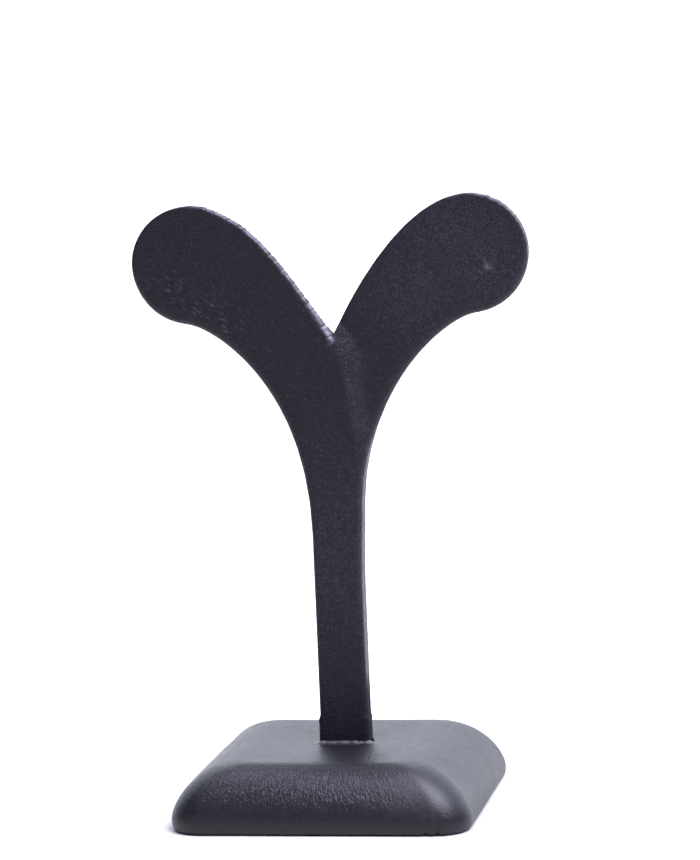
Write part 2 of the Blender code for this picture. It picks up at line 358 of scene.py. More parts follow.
def soften(points, reach, spacing):
    """The same open edge with its corners rounded over about this reach. Its ends stay."""
    count = math.ceil(3 * reach / spacing)
    weights = np.exp(-0.5 * (np.arange(-count, count + 1) * spacing / reach) ** 2)
    weights /= weights.sum()
    before = 2 * points[0] - points[count:0:-1]
    after = 2 * points[-1] - points[-2 : -count - 2 : -1]
    padded = np.concatenate([before, points, after])
    return np.column_stack([np.convolve(padded[:, k], weights, "valid") for k in (0, 1)])


def outward(points, closed=False):
    """Which way an anticlockwise edge faces at each of its points."""
    if closed:
        along = np.roll(points, -1, axis=0) - np.roll(points, 1, axis=0)
    else:
        along = np.gradient(points, axis=0)
    along = along / np.hypot(*along.T)[:, None]
    return np.column_stack([along[:, 1], -along[:, 0]])


def depth_inside(points, polygon, step=1500):
    """How far each point lies inside the polygon, negative outside."""
    a, b = polygon, np.roll(polygon, -1, axis=0)
    side = b - a
    length = (side**2).sum(axis=1)
    found = []
    for k in range(0, len(points), step):
        part = points[k : k + step, None, :]
        along = np.clip(((part - a) * side).sum(axis=2) / length, 0, 1)
        near = a + along[..., None] * side
        distance = np.sqrt(((part - near) ** 2).sum(axis=2)).min(axis=1)
        x, z = part[..., 0], part[..., 1]
        spans = (a[:, 1] > z) != (b[:, 1] > z)
        with np.errstate(divide="ignore", invalid="ignore"):
            crossing = a[:, 0] + (z - a[:, 1]) * side[:, 0] / side[:, 1]
        inside = (spans & (x < crossing)).sum(axis=1) % 2 == 1
        found.append(np.where(inside, distance, -distance))
    return np.concatenate(found)


# Meshes


def mesh_object(name, points, faces, materials):
    mesh = bpy.data.meshes.new(name)
    mesh.from_pydata([tuple(map(float, point)) for point in points], [], faces)
    for item in materials:
        mesh.materials.append(item)
    mesh.shade_smooth()
    obj = bpy.data.objects.new(name, mesh)
    bpy.context.scene.collection.objects.link(obj)
    return obj


def solidify(obj, thickness, rim_material):
    modifier = obj.modifiers.new("thickness", "SOLIDIFY")
    modifier.thickness = thickness
    modifier.offset = -1
    modifier.material_offset_rim = rim_material


def hex_grid(low, high, spacing):
    rows = np.arange(low[1], high[1], spacing * math.sqrt(3) / 2)
    points = []
    for k, z in enumerate(rows):
        x = np.arange(low[0] + (k % 2) * spacing / 2, high[0], spacing)
        points.append(np.column_stack([x, np.full(len(x), z)]))
    return np.concatenate(points)


def circle(centre, radius, count):
    angles = np.arange(count) * math.tau / count
    return centre + radius * np.column_stack([np.cos(angles), np.sin(angles)])


def flat_mesh(edge, rings, details, clear):
    """Points and anticlockwise triangles that fill the closed edge, and each point's depth
    inside it. The edge's own points come first. details are extra points that the grid
    stays clear of."""
    # An inner ring folds over itself where the edge bends sharply, and those points go.
    inner = [edge - outward(edge, closed=True) * ring for ring in rings]
    inner = [ring[depth_inside(ring, edge) > RING_KEPT * reach] for ring, reach in zip(inner, rings)]
    grid = hex_grid(edge.min(axis=0), edge.max(axis=0), GRID)
    grid = grid[depth_inside(grid, edge) > rings[-1] + GRID / 2]
    gap = np.sqrt(((grid[:, None, :] - details[None]) ** 2).sum(axis=2)).min(axis=1)
    flat = np.concatenate([edge, *inner, grid[gap > clear], details])
    count = len(edge)
    border = [(k, (k + 1) % count) for k in range(count)]
    vertices, _, triangles, origins, _, _ = delaunay_2d_cdt(
        [Vector(point / MM) for point in flat], border, [], 1, 1e-5
    )
    flat = np.array([tuple(point) for point in vertices]) * MM
    place = {origin: k for k, found in enumerate(origins) for origin in found}
    border = [place[k] for k in range(count)]
    depth = np.maximum(depth_inside(flat, edge), 0)
    depth[border] = 0
    if area_of(flat[list(triangles[0])]) < 0:
        triangles = [triangle[::-1] for triangle in triangles]
    return flat, [tuple(triangle) for triangle in triangles], border, depth


def plate(name, flat, triangles, border, near, far, keep_far, rows, materials):
    """A body with y = near in front and y = far behind. The far side is only there where
    keep_far says so."""
    size, count = len(flat), len(border)
    points = [np.column_stack([flat[:, 0], y, flat[:, 1]]) for y in (near, far)]
    faces = list(triangles)
    for triangle in triangles:
        if all(keep_far[k] for k in triangle):
            faces.append(tuple(size + k for k in triangle[::-1]))
    levels = [list(border)]
    total = 2 * size
    for row in range(1, rows):
        share = row / rows
        y = near[border] * (1 - share) + far[border] * share
        points.append(np.column_stack([flat[border, 0], y, flat[border, 1]]))
        levels.append(list(range(total, total + count)))
        total += count
    levels.append([size + k for k in border])
    for front, back in zip(levels, levels[1:]):
        for k in range(count):
            after = (k + 1) % count
            faces.append((front[after], front[k], back[k], back[after]))
    points = np.concatenate(points)
    used = sorted({k for face in faces for k in face})
    number = {old: new for new, old in enumerate(used)}
    faces = [tuple(number[k] for k in face) for face in faces]
    return mesh_object(name, points[used], faces, materials)


def nearest_facing(points):
    """Which way the edge of the Y faces where it is nearest to each point."""
    facing = outward(outline, closed=True)
    tree = KDTree(len(outline))
    for k, (x, z) in enumerate(outline):
        tree.insert((x, z, 0), k)
    tree.balance()
    return np.array([facing[tree.find((x, z, 0))[1]] for x, z in points])


def rounded(depth, reach, fall):
    """How far an edge that is rounded over this reach falls back at this depth inside it."""
    return fall * (1 - np.sqrt(1 - (1 - np.clip(depth / reach, 0, 1)) ** 2))


def smooth(values, low, high):
    """From 0 at low to 1 at high, with no kink at either."""
    share = np.clip((values - low) / (high - low), 0, 1)
    return share * share * (3 - 2 * share)


def waves(points, y, length, seed):
    shift = Vector((seed, 0, 0))
    return np.array([noise.noise(Vector((x, y, z)) / length + shift) for x, z in points])


# Materials. Noise scales are per metre, and the attributes come from wear_and_painted_light_of_y() and
# wear_of_base(). The other numbers in a recipe are shares from 0 to 1 and fades.


class Nodes:
    """A new material, and short names for making its nodes."""

    def __init__(self, name):
        self.material = bpy.data.materials.new(name)
        self.material.use_nodes = True
        self.tree = self.material.node_tree
        self.shader = self.tree.nodes["Principled BSDF"]
        self.places = self.make("ShaderNodeTexCoord").outputs["Object"]

    def make(self, kind, **settings):
        node = self.tree.nodes.new(kind)
        for key, value in settings.items():
            setattr(node, key, value)
        return node

    def put(self, socket, value):
        if isinstance(value, bpy.types.NodeSocket):
            self.tree.links.new(value, socket)
        elif socket.type == "RGBA" and len(value) == 3:
            socket.default_value = (*value, 1.0)
        else:
            socket.default_value = value

    def shade(self, **values):
        for key, value in values.items():
            self.put(self.shader.inputs[key.replace("_", " ")], value)

    def noise(self, scale, detail=3.0, roughness=0.5, vector=None, distortion=0.0):
        node = self.make("ShaderNodeTexNoise")
        self.put(node.inputs["Vector"], vector or self.places)
        self.put(node.inputs["Scale"], scale)
        self.put(node.inputs["Detail"], detail)
        self.put(node.inputs["Roughness"], roughness)
        self.put(node.inputs["Distortion"], distortion)
        return node.outputs["Fac"]

    def cells(self, scale, vector=None):
        """The distance to the middle of the nearest cell, and the cell's own random value."""
        node = self.make("ShaderNodeTexVoronoi")
        self.put(node.inputs["Vector"], vector or self.places)
        self.put(node.inputs["Scale"], scale)
        split = self.make("ShaderNodeSeparateColor")
        self.put(split.inputs[0], node.outputs["Color"])
        return node.outputs["Distance"], split.outputs[0]

    def math(self, operation, *values):
        node = self.make("ShaderNodeMath", operation=operation)
        for socket, value in zip(node.inputs, values):
            self.put(socket, value)
        return node.outputs[0]

    def span(self, value, low, high, to_low=0.0, to_high=1.0):
        node = self.make("ShaderNodeMapRange", interpolation_type="SMOOTHSTEP")
        for socket, item in zip(node.inputs, (value, low, high, to_low, to_high)):
            self.put(socket, item)
        return node.outputs[0]

    def mix(self, share, first, second):
        node = self.make("ShaderNodeMix", data_type="RGBA")
        self.put(node.inputs[0], share)
        self.put(node.inputs[6], first)
        self.put(node.inputs[7], second)
        return node.outputs[2]

    def stretched(self, scale, vector=None):
        node = self.make("ShaderNodeMapping")
        self.put(node.inputs["Scale"], scale)
        self.put(node.inputs["Vector"], vector or self.places)
        return node.outputs["Vector"]

    def turned(self, degrees, scale):
        """Places turned about Y, then stretched."""
        turn = self.make("ShaderNodeVectorRotate", rotation_type="Y_AXIS")
        self.put(turn.inputs["Vector"], self.places)
        self.put(turn.inputs["Angle"], math.radians(degrees))
        return self.stretched(scale, turn.outputs["Vector"])

    def attribute(self, name):
        return self.make("ShaderNodeAttribute", attribute_name=name).outputs["Fac"]

    def bump(self, height, distance):
        node = self.make("ShaderNodeBump")
        self.put(node.inputs["Distance"], distance)
        self.put(node.inputs["Height"], height)
        return node.outputs["Normal"]


def leather_grain(n):
    """Fine pebbles with pores between them: their height, how light they are and a chance
    that belongs to each pebble."""
    distance, chance = n.cells(2300)
    height = n.math("MULTIPLY_ADD", distance, -1.0, 1.0)
    height = n.math("MULTIPLY_ADD", n.noise(5200, 2.0), 0.35, height)
    lit = n.span(distance, 0.1, 0.6, 1.0, 0.0)
    lit = n.math("MULTIPLY", lit, n.span(chance, 0.0, 1.0, 0.45, 1.0))
    return height, lit, chance


def specks(n, scale, share, size):
    """Light specks in this share of the cells."""
    distance, chance = n.cells(scale)
    chosen = n.math("LESS_THAN", chance, share)
    return n.math("MULTIPLY", chosen, n.span(distance, size * 0.5, size, 1.0, 0.0))


def y_leather():
    n = Nodes("y_leather")
    grain, lit, chance = leather_grain(n)
    # The next attribute paints the leather lighter: partly rubbing, and partly painted light on the
    # right lobe, the stem and the slope at the fork.
    wear_and_painted_light = n.attribute("wear_and_painted_light")
    patches = n.span(n.noise(2300, 2.0, 0.7), 0.25, 0.75, -0.3, 0.3)
    patches = n.math("MULTIPLY", patches, n.math("MULTIPLY_ADD", wear_and_painted_light, 2.5, 0.8))
    tone = n.math("ADD", n.math("MULTIPLY_ADD", wear_and_painted_light, 0.55, patches), lit)
    colour = n.mix(tone, NAVY_DARK, NAVY)
    flecks = n.span(n.math("MULTIPLY_ADD", wear_and_painted_light, 0.10, chance), 0.93, 1.02)
    colour = n.mix(n.math("MULTIPLY", n.math("MULTIPLY", flecks, lit), 0.13), colour, WORN)
    colour = n.mix(n.math("MULTIPLY", specks(n, 420, 0.005, 0.16), 0.3), colour, WORN)
    scuffs = n.noise(1.0, 3.0, 0.6, n.turned(-35.0, (800.0, 2200.0, 2200.0)))
    scuffs = n.math("MULTIPLY", n.span(scuffs, 0.56, 0.70), n.attribute("scuffed"))
    colour = n.mix(n.math("MULTIPLY", scuffs, 0.27), colour, WORN)
    worn = n.math("MULTIPLY", n.attribute("worn"), n.span(n.noise(1900, 3.0), 0.35, 0.6, 0.2, 1.0))
    colour = n.mix(n.math("MULTIPLY", worn, 0.8), colour, WORN)
    uneven = n.span(n.noise(900, 2.0), 0.35, 0.65, 0.5, 1.0)
    # Painted highlights along the edges that face up and to the right, and painted reflections along
    # those that face down.
    colour = n.mix(n.math("MULTIPLY", n.attribute("rim"), uneven), colour, EDGE_HIGHLIGHT)
    # A painted glint near the notch.
    colour = n.mix(n.math("MULTIPLY", n.attribute("notch_glint"), uneven), colour, GLINT_WHITE)
    # Painted shade at the foot of the stem and beside the notch, where the leather is also rougher.
    painted_shade_and_rough = n.attribute("painted_shade_and_rough")
    colour = n.mix(n.math("MULTIPLY", painted_shade_and_rough, 0.8), colour, NAVY_DARK)
    # Painted shade in the pin holes.
    colour = n.mix(n.attribute("pin_hole_shade"), colour, HOLE_SHADE_COLOUR)
    height = n.math("MULTIPLY_ADD", n.noise(330, 2.0), 1.0, grain)
    height = n.math("MULTIPLY_ADD", n.noise(2100, 1.0), n.math("MULTIPLY", wear_and_painted_light, 1.6), height)
    creases = n.noise(1.0, 2.0, 0.5, n.stretched((2000.0, 300.0, 300.0)), 0.4)
    height = n.math("MULTIPLY_ADD", n.math("MULTIPLY", creases, n.attribute("web")), 1.7, height)
    roughness = n.span(n.noise(700, 3.0), 0.3, 0.7, 0.40, 0.52)
    n.shade(
        Base_Color=colour,
        Roughness=n.math("MULTIPLY_ADD", painted_shade_and_rough, 0.45, roughness),
        Specular_IOR_Level=0.305,
        Normal=n.bump(height, 0.10 * MM),
    )
    return n.material


def base_leather():
    n = Nodes("base_leather")
    flow = n.make("ShaderNodeUVMap", uv_map="flow").outputs["UV"]
    grain, lit, _ = leather_grain(n)
    tone = n.math("ADD", n.span(n.noise(110, 3.0), 0.3, 0.7, -0.08, 0.08), lit)
    split = n.make("ShaderNodeSeparateXYZ")
    n.put(split.inputs[0], n.places)
    # Painted shade: darker towards the bottom of the base.
    tone = n.math("ADD", tone, n.span(split.outputs["Z"], *LOW_SHADE, -0.25, 0.0))
    colour = n.mix(tone, NAVY_DARK, NAVY)
    colour = n.mix(n.math("MULTIPLY", specks(n, 300, 0.03, 0.14), 0.5), colour, WORN)
    frayed = n.span(n.noise(1300, 3.0), 0.30, 0.60, 0.1, 0.9)
    frayed = n.math("MULTIPLY", n.attribute("lip"), frayed)
    colour = n.mix(frayed, colour, LIP_EDGE)
    creases = n.noise(1.0, 3.0, 0.6, n.stretched((1700.0, 480.0, 1.0), flow), 0.9)
    creases = n.math("MULTIPLY", n.span(creases, 0.36, 0.62), n.attribute("stretch"))
    height = n.math("MULTIPLY_ADD", n.noise(260, 2.0), 0.07, grain)
    height = n.math("MULTIPLY_ADD", creases, 1.35, height)
    polished = n.attribute("polished")
    height = n.math("MULTIPLY", height, n.math("MULTIPLY_ADD", polished, -0.3, 1.0))
    roughness = n.span(n.noise(600, 3.0), 0.3, 0.7, 0.40, 0.44)
    n.shade(
        Base_Color=colour,
        Roughness=n.math("MULTIPLY_ADD", polished, 0.14, roughness),
        Specular_IOR_Level=0.47,
        Coat_Weight=n.math("MULTIPLY", polished, 0.7),
        Coat_Roughness=0.5,
        Normal=n.bump(height, 0.055 * MM),
    )
    return n.material


def raw_leather_edge():
    n = Nodes("raw_leather_edge")
    fibres = n.noise(2600, 4.0, 0.6)
    colour = n.mix(n.span(fibres, 0.35, 0.65), RAW_EDGE_DARK, RAW_EDGE)
    n.shade(Base_Color=colour, Roughness=0.9, Normal=n.bump(fibres, 0.08 * MM))
    return n.material


def fibreboard(name, colour):
    n = Nodes(name)
    fibres = n.noise(1.0, 5.0, 0.6, n.stretched((900.0, 900.0, 2400.0)))
    dark = tuple(value * DARK_FIBRES for value in colour)
    tint = n.mix(n.span(fibres, 0.35, 0.65), dark, colour)
    n.shade(Base_Color=tint, Roughness=0.88, Normal=n.bump(fibres, 0.05 * MM))
    return n.material


def foam():
    n = Nodes("open_foam")
    holes, _ = n.cells(1500)
    tint = n.mix(n.span(holes, 0.1, 0.6), FOAM_DARK, FOAM_PALE)
    n.shade(Base_Color=tint, Roughness=0.95, Normal=n.bump(holes, 0.2 * MM))
    return n.material


def felt():
    n = Nodes("pressed_felt")
    fibres = n.noise(2600, 5.0, 0.7, distortion=1.5)
    tint = n.mix(n.span(fibres, 0.35, 0.7), FELT_DARK, FELT_PALE)
    n.shade(Base_Color=tint, Roughness=0.95, Sheen_Weight=0.25, Normal=n.bump(fibres, 0.12 * MM))
    return n.material


def floor_paint():
    n = Nodes("floor_paint")
    paler = n.span(n.noise(3.0, 3.0), 0.2, 0.8)
    colour = n.mix(paler, tuple(value * FLOOR_DARKEST for value in FLOOR_WHITE), FLOOR_WHITE)
    split = n.make("ShaderNodeSeparateXYZ")
    n.put(split.inputs[0], n.places)
    # The floor behind the stand and the backdrop glow: painted light that lights the stand as a lamp
    # would.
    behind = n.span(split.outputs["Y"], *FLOOR_GLOW_RISE, 0.0, FLOOR_GLOW)
    backdrop = n.span(split.outputs["Z"], *BACKDROP_GLOW_RISE, 0.0, BACKDROP_GLOW)
    glow = n.math("ADD", behind, backdrop)
    n.shade(
        Base_Color=colour,
        Roughness=0.75,
        Specular_IOR_Level=0.2,
        Emission_Color=(*DAYLIGHT, 1.0),
        Emission_Strength=glow,
    )
    return n.material


raw_edge = raw_leather_edge()


# The Y


skin_low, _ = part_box("front_cover")
front_low, front_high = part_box("front_board")
_, rear_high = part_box("rear_board")
FACE = -skin_low.y
SKIN = front_low.x - skin_low.x
STEP = front_high.y + SKIN

left_loops = face_loops("front_board", front_low.y)
right_loops = face_loops("rear_board", rear_high.y)
pins = [loops[1].mean(axis=0) for loops in (left_loops, right_loops)]


def arm_outline(loop):
    """The outside of the leather round one board, as an open edge."""
    edge = soften(resample(open_edge(loop), SPACING), EDGE_SOFTENING, SPACING)
    return edge + outward(edge) * SKIN


left_arm = arm_outline(left_loops[0])
right_arm = arm_outline(right_loops[0])


def facing_light(facing):
    """How much an edge that faces this way faces up and to the right, from 0 to 1."""
    return smooth(facing[:, 1], *LIT_UP) * smooth(facing[:, 0], *LIT_RIGHT)


def whole_outline():
    """The edge round both arms: up the right arm, down to the notch, round the left arm
    and back across the foot."""
    past_peak = np.arange(len(right_arm)) > right_arm[:, 1].argmax()
    enters = np.flatnonzero(past_peak & (depth_inside(right_arm, left_arm) > 0))[0]
    before_peak = np.arange(len(left_arm)) < left_arm[:, 1].argmax()
    leaves = np.flatnonzero(before_peak & (depth_inside(left_arm, right_arm) > 0))[-1]
    joined = np.concatenate([right_arm[:enters], left_arm[leaves + 1 :]])
    notch = (right_arm[enters] + left_arm[leaves]) / 2
    sides = soften(resample(joined, SPACING), NOTCH_SOFTENING, SPACING)
    facing = outward(sides)
    uneven = LEAST_RIPPLE + (1 - LEAST_RIPPLE) * facing_light(facing)
    uneven = waves(sides, 0.0, RIPPLE_LENGTH, RIPPLE_SEED) * uneven
    flare = np.clip((FLARE_TOP - sides[:, 1]) / FLARE_FADE, 0, 1)
    flare = flare * (FOOT_FLARE - FLARE_LEAN * facing[:, 0])
    bulge = np.exp(-(((sides[:, 1] - WEB_BULGE_PLACE) / WEB_BULGE_LENGTH) ** 2))
    bulge = WEB_BULGE * bulge * np.clip(facing[:, 0], 0, 1)
    sides = sides + facing * (RIPPLE * uneven + flare + bulge)[:, None]
    foot = resample(np.array([sides[-1], sides[0]]), SPACING)[1:-1]
    return np.concatenate([sides, foot]), notch


outline, notch = whole_outline()
stem_x = (outline[0, 0] + left_arm[-1, 0]) / 2
stem_half = (outline[0, 0] - left_arm[-1, 0]) / 2


def web_share(points, arm):
    """From 0 on the arm to 1 past the leather that slopes off its edge."""
    beside = np.maximum(-depth_inside(points, arm), 0)
    width = np.interp(notch[1] - points[:, 1], WEB_BELOW_NOTCH, WEB_WIDTH)
    return np.clip(beside / width, 0, 1)


def side_of_y(points, arm, depth, seed):
    """How far the skin stands off the middle plane: FACE on the arm, STEP beside it."""
    fall = 1 - (1 - web_share(points, arm)) ** WEB_SOFTNESS
    fall = fall * smooth(points[:, 1], *WEB_END)
    up = smooth(nearest_facing(points)[:, 1], *UPPER_EDGE)
    reach, drop = (low + (high - low) * up for low, high in (EDGE_REACH, EDGE_FALL))
    y = FACE - (FACE - STEP) * fall - rounded(depth, reach, drop)
    return y + waves(points, seed, WAVE_LENGTH, seed) * WAVE_HEIGHT


def seam_points(arm, within):
    """Rows of points along the part of the arm's edge that crosses the other arm."""
    rows = [arm + outward(arm) * row for row in SEAM_ROWS]
    rows = np.concatenate(rows)
    return rows[depth_inside(rows, within) > EDGE_RINGS[-1]]


def float_attributes(mesh, named):
    for name, values in named.items():
        layer = mesh.attributes.new(name, "FLOAT", "POINT")
        layer.data.foreach_set("value", np.asarray(values, "f"))


def pin_distance(points):
    return np.min([np.hypot(*(points - pin).T) for pin in pins], axis=0)


def spots(points, places):
    """From 0 to 1 near any of these places, given as (x, z, reach) in millimetres."""
    found = []
    for x, z, reach in places:
        found.append(np.exp(-(np.hypot(*(points / MM - (x, z)).T) / reach) ** 2))
    return np.max(found, axis=0)


def wear_and_painted_light_of_y(places, y):
    """What drives the Y's leather at these places in the plane of the boards and this y: its
    wear, and the light and shade painted on it.
    """
    height = places[:, 1]
    share = web_share(places, left_arm)
    # Painted shade beside the left arm's edge, above the notch.
    above_notch = smooth(height - notch[1], *NOTCH_SHADE_ABOVE)
    over_notch = NOTCH_SHADE * (share > 0) * smooth(-share, *NOTCH_SHADE_OUT) * above_notch
    sloping = smooth(share, *SLOPE_IN) * smooth(-share, *SLOPE_OUT) * smooth(height, *WEB_END)
    sloping = sloping * smooth(notch[1] - height, *SLOPE_TOP)
    # A painted highlight on the slope at the fork, lighter still below the notch.
    least, more = SLOPE_HIGHLIGHT
    slope_highlight = sloping * (least + more * smooth(notch[1] - height, *SLOPE_HIGHLIGHT_BELOW))

    inside = depth_inside(places, outline)
    facing = nearest_facing(places)
    above = facing_light(facing)
    below = smooth(UNDERSIDE_LEAN * facing[:, 0] - facing[:, 1], *UNDERSIDE)
    below = below * smooth(height, *UNDERSIDE_ABOVE)
    # Painted reflection along the edges that face down, and a painted highlight along those that
    # face up and to the right.
    rim = UNDERSIDE_RIM * below * smooth(-inside, *UNDERSIDE_RIM_DEPTH)
    rim = np.maximum(rim, above * smooth(-inside, *UPPER_RIM_DEPTH))
    to_notch = np.hypot(*(places - notch).T)
    # A painted glint along the upper edges near the notch, and at the notch itself.
    notch_glint = NOTCH_GLINT * above * np.exp(-to_notch / NOTCH_GLINT_REACH) * smooth(-inside, *NOTCH_GLINT_DEPTH)
    notch_glint = np.maximum(notch_glint, GLINT_AT_NOTCH * np.exp(-((to_notch / GLINT_AT_NOTCH_REACH) ** 2)))
    # Painted shade along the stem's edges near its foot, above the base.
    at_foot = smooth(-height, *FOOT_SHADE_BELOW) * smooth(-inside, *FOOT_SHADE_DEPTH)
    in_front = smooth(-y, *FRONT_ONLY)

    # The pin holes are painted dark, as painted shade inside them.
    to_pin = pin_distance(places)
    near_pin = np.exp(-((to_pin / PIN_SCUFF) ** 2))
    return {
        "web": sloping,
        "pin_hole_shade": HOLE_SHADE * np.exp(-((to_pin / HOLE_RADIUS) ** 4)),
        "rim": rim * in_front,
        "notch_glint": notch_glint * in_front,
        "painted_shade_and_rough": np.maximum(at_foot, over_notch),
        "worn": spots(places, WORN_SPOT),
        "scuffed": np.maximum(near_pin, spots(places, SCUFFS)),
        "wear_and_painted_light": np.maximum(spots(places, WEAR_AND_LIGHT_SPOTS), slope_highlight),
    }


def make_y():
    rings = [circle(pin, ring, PIN_SIDES) for pin in pins for ring in PIN_RINGS]
    details = np.concatenate([*rings, np.array(pins), seam_points(left_arm, outline)])
    flat, triangles, border, depth = flat_mesh(outline, EDGE_RINGS, details, GRID / 2)
    dimple = PIN_DEPTH * np.exp(-((pin_distance(flat) / PIN_RADIUS) ** 2))
    near = -side_of_y(flat, left_arm, depth, FRONT_SEED) + dimple
    far = side_of_y(flat, right_arm, depth, BACK_SEED)
    turned_over = depth < TURN_OVER
    looks = [y_leather(), raw_edge]
    front = plate("front_skin", flat, triangles, border, near, far, turned_over, WALL_ROWS, looks)
    places = np.array([vertex.co for vertex in front.data.vertices])
    float_attributes(front.data, wear_and_painted_light_of_y(places[:, [0, 2]], places[:, 1]))
    solidify(front, LEATHER, 1)
    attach(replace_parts(front, "front_cover"), "root")

    inner = outline - outward(outline, closed=True) * BACK_INSET
    inner = inner[depth_inside(inner, outline) > BACK_KEPT * BACK_INSET]
    seam = seam_points(right_arm, inner)
    flat, triangles, border, depth = flat_mesh(inner, BACK_RINGS, seam, GRID / 2)
    under = side_of_y(flat, right_arm, depth_inside(flat, outline), BACK_SEED)
    over = under + BACK_THICKNESS - rounded(depth, BACK_EDGE, BACK_EDGE)
    under = under - BACK_SINK
    everywhere = np.full(len(flat), True)
    back = plate("back_skin", flat, triangles, border, under, over, everywhere, BACK_ROWS, looks)
    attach(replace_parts(back, "rear_cover"), "root")


make_y()


# The base


cover_low, cover_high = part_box("base_cover")
HALF = cover_high.x


def base_inset(z):
    """How far the outside of the base lies inside its widest line at height z."""
    under = np.clip((BELLY - z) / BELLY, 0, 1)
    rise = np.clip((z - BELLY) / (cover_high.z - BELLY), 0, 1)
    dome = DOME_INSET * (1 - (1 - rise**DOME_START) ** (1 / DOME_END))
    return np.where(z < BELLY, TUCK * (1 - np.sqrt(1 - under**2)), dome)


def dome_side(under, low):
    """Half width and height up the side of a dome that lies this far under the leather's face."""
    rise = np.sin(np.linspace(0, math.pi / 2, DOME_POINTS))
    height = low + (cover_high.z - under - low) * rise
    return np.column_stack([HALF - under - base_inset(height + under), height])


def base_section():
    """Half width and height of the leather, in from the hem's edge and up to the flat top."""
    low = cover_low.z
    hem = np.array([[HALF - HEM_WIDTH, low], [HALF - HEM_TURN, low]])
    section = resample(np.concatenate([hem, dome_side(0.0, low - HEM_DROP)]), FINE_SPACING)
    return resample(soften(section, HEM_SOFTENING, FINE_SPACING), ROW_SPACING)


def closed_resample(points, count):
    """The same closed edge as this many points, evenly spaced."""
    points = np.concatenate([points, points[:1]])
    reach = np.concatenate([[0], np.cumsum(np.hypot(*np.diff(points, axis=0).T))])
    at = np.arange(count) * reach[-1] / count
    return np.column_stack([np.interp(at, reach, points[:, k]) for k in (0, 1)])


def square(half, corner):
    """A level square with round corners, anticlockwise from the middle of its back."""
    ring = [np.array([[0, half]])]
    for k, (sx, sy) in enumerate(((-1, 1), (-1, -1), (1, -1), (1, 1))):
        angles = math.pi / 2 * (k + 1 + np.linspace(0, 1, CORNER_POINTS))
        centre = np.array([sx, sy]) * (half - corner)
        ring.append(centre + corner * np.column_stack([np.cos(angles), np.sin(angles)]))
    return closed_resample(np.concatenate(ring), AROUND)


def round_stem(x, y, tip):
    """An opening for the stem from the middle of its back, with points at this x at its ends."""
    corners = [(0, y), (-x, y), (-tip, 0), (-x, -y), (0, -y), (x, -y), (tip, 0), (x, y)]
    return closed_resample(np.array(corners), AROUND) + np.array([stem_x, 0])


def dome_ring(half, z, under):
    """The dome's level outline at this half width. Its front keeps more of its width."""
    corner = max(LEAST_CORNER, CORNER - CORNER_TIGHTENING * (HALF - half))
    ring = square(half, corner)
    inset = HALF - under - half if z > BELLY else 0.0
    front_half = half + (1 - FRONT_SHOULDER) * inset
    ring[:, 1] = np.where(ring[:, 1] < 0, ring[:, 1] * front_half / half, ring[:, 1])
    return ring


def stacked(levels):
    """The points of these rings, each given with its height."""
    return np.concatenate([np.column_stack([ring, np.full(AROUND, z)]) for ring, z in levels])


def ring_faces(count):
    """The faces between this many rings of points, each joined to the one after it."""
    faces = []
    for k in range(count - 1):
        for j in range(AROUND):
            after = (j + 1) % AROUND
            a, b = k * AROUND, (k + 1) * AROUND
            faces.append((a + j, a + after, b + after, b + j))
    return faces


def flow_map(skin, points, rows):
    """A UV map in metres, round the base and up its front, for the wrinkles."""
    widest = square(HALF, CORNER)
    around = np.concatenate([[0], np.cumsum(np.hypot(*np.diff(widest, axis=0).T))])
    middle = points.reshape(rows, AROUND, 3)[:, AROUND // 2]
    steps = np.sqrt((np.diff(middle, axis=0) ** 2).sum(axis=1))
    up = np.concatenate([[0], np.cumsum(steps)])
    uv = []
    for k in range(rows - 1):
        for s in around:
            t = s + around[1]
            uv += [(s, up[k]), (t, up[k]), (t, up[k + 1]), (s, up[k + 1])]
    flow = skin.data.uv_layers.new(name="flow")
    flow.data.foreach_set("uv", np.array(uv, "f").ravel())


def wear_of_base(points, lip):
    """What drives the base's leather at these places."""
    x, y, z = points.T
    at_sides, past_end, at_start = LEAST_WRINKLES
    stretch = smooth(z, *WRINKLES_ABOVE) * smooth(-z, *WRINKLES_BELOW)
    stretch = stretch * (1 - (1 - past_end) * smooth(x, *WRINKLES_END))
    stretch = stretch * (at_start + (1 - at_start) * smooth(x, *WRINKLES_START))
    stretch = stretch * (at_sides + (1 - at_sides) * smooth(-y, *WRINKLES_FORWARD))
    corner = smooth(x, *POLISH_RIGHT) * smooth(-y, *POLISH_FORWARD)
    return {
        "stretch": stretch,
        "polished": corner * smooth(z, *POLISH_ABOVE),
        "lip": np.clip(lip * LIP_PALE, 0, 1),
    }


